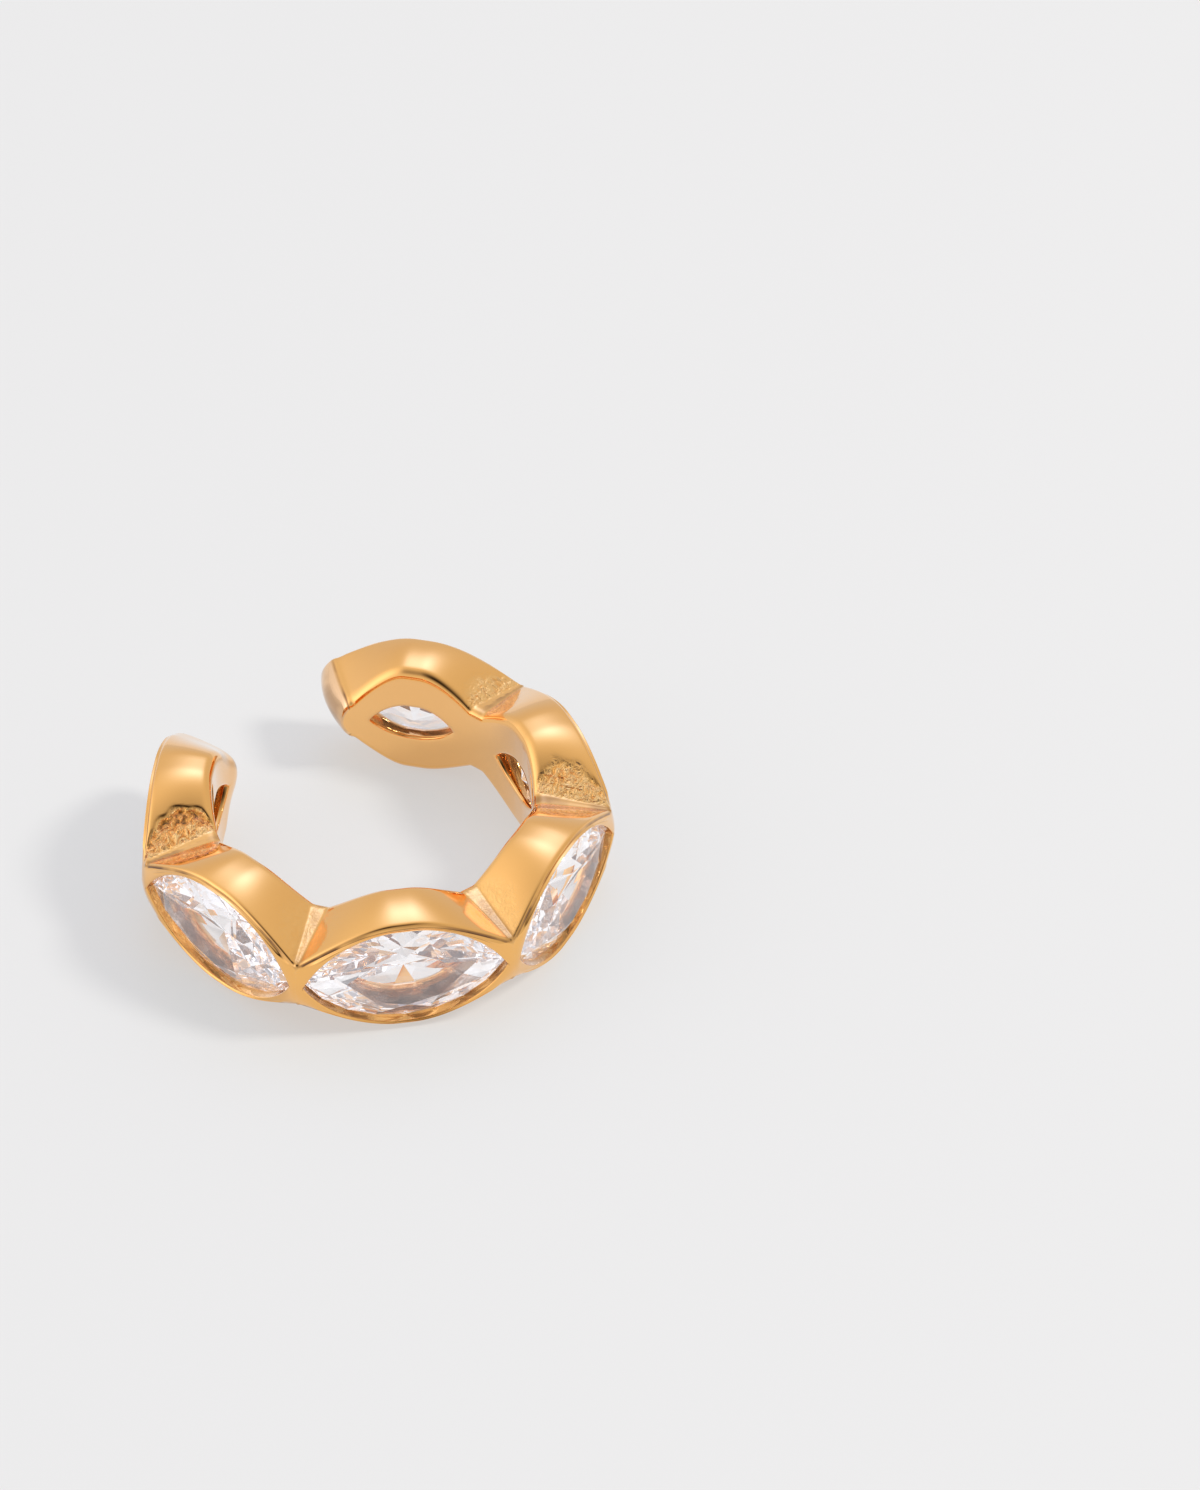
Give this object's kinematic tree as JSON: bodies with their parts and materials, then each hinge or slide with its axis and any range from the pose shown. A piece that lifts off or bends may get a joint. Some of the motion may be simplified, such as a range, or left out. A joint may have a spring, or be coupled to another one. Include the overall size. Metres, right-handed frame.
{
  "type": "open ear cuff",
  "caption": "Open C-shaped ear cuff: a cast band of joined marquise settings, each with a clear cut stone. It slips over the edge of the ear.",
  "frame": {"origin": "middle of the footprint, on the surface the cuff lies on", "axes": "+Z along the axis of the bore, upwards as the cuff lies on its side; +Y from the middle of the band towards its opening; +X across the opening"},
  "size_m": [0.012, 0.0118, 0.0035],
  "materials": {
    "polished_gold": "polished, gold coloured",
    "clear_zirconia": "clear, facet cut"
  },
  "bodies": {
    "root": {"cuff_band": "polished_gold", "stone_1": "clear_zirconia", "stone_2": "clear_zirconia", "stone_3": "clear_zirconia", "stone_4": "clear_zirconia", "stone_5": "clear_zirconia", "stone_6": "clear_zirconia"}
  },
  "joints": []
}
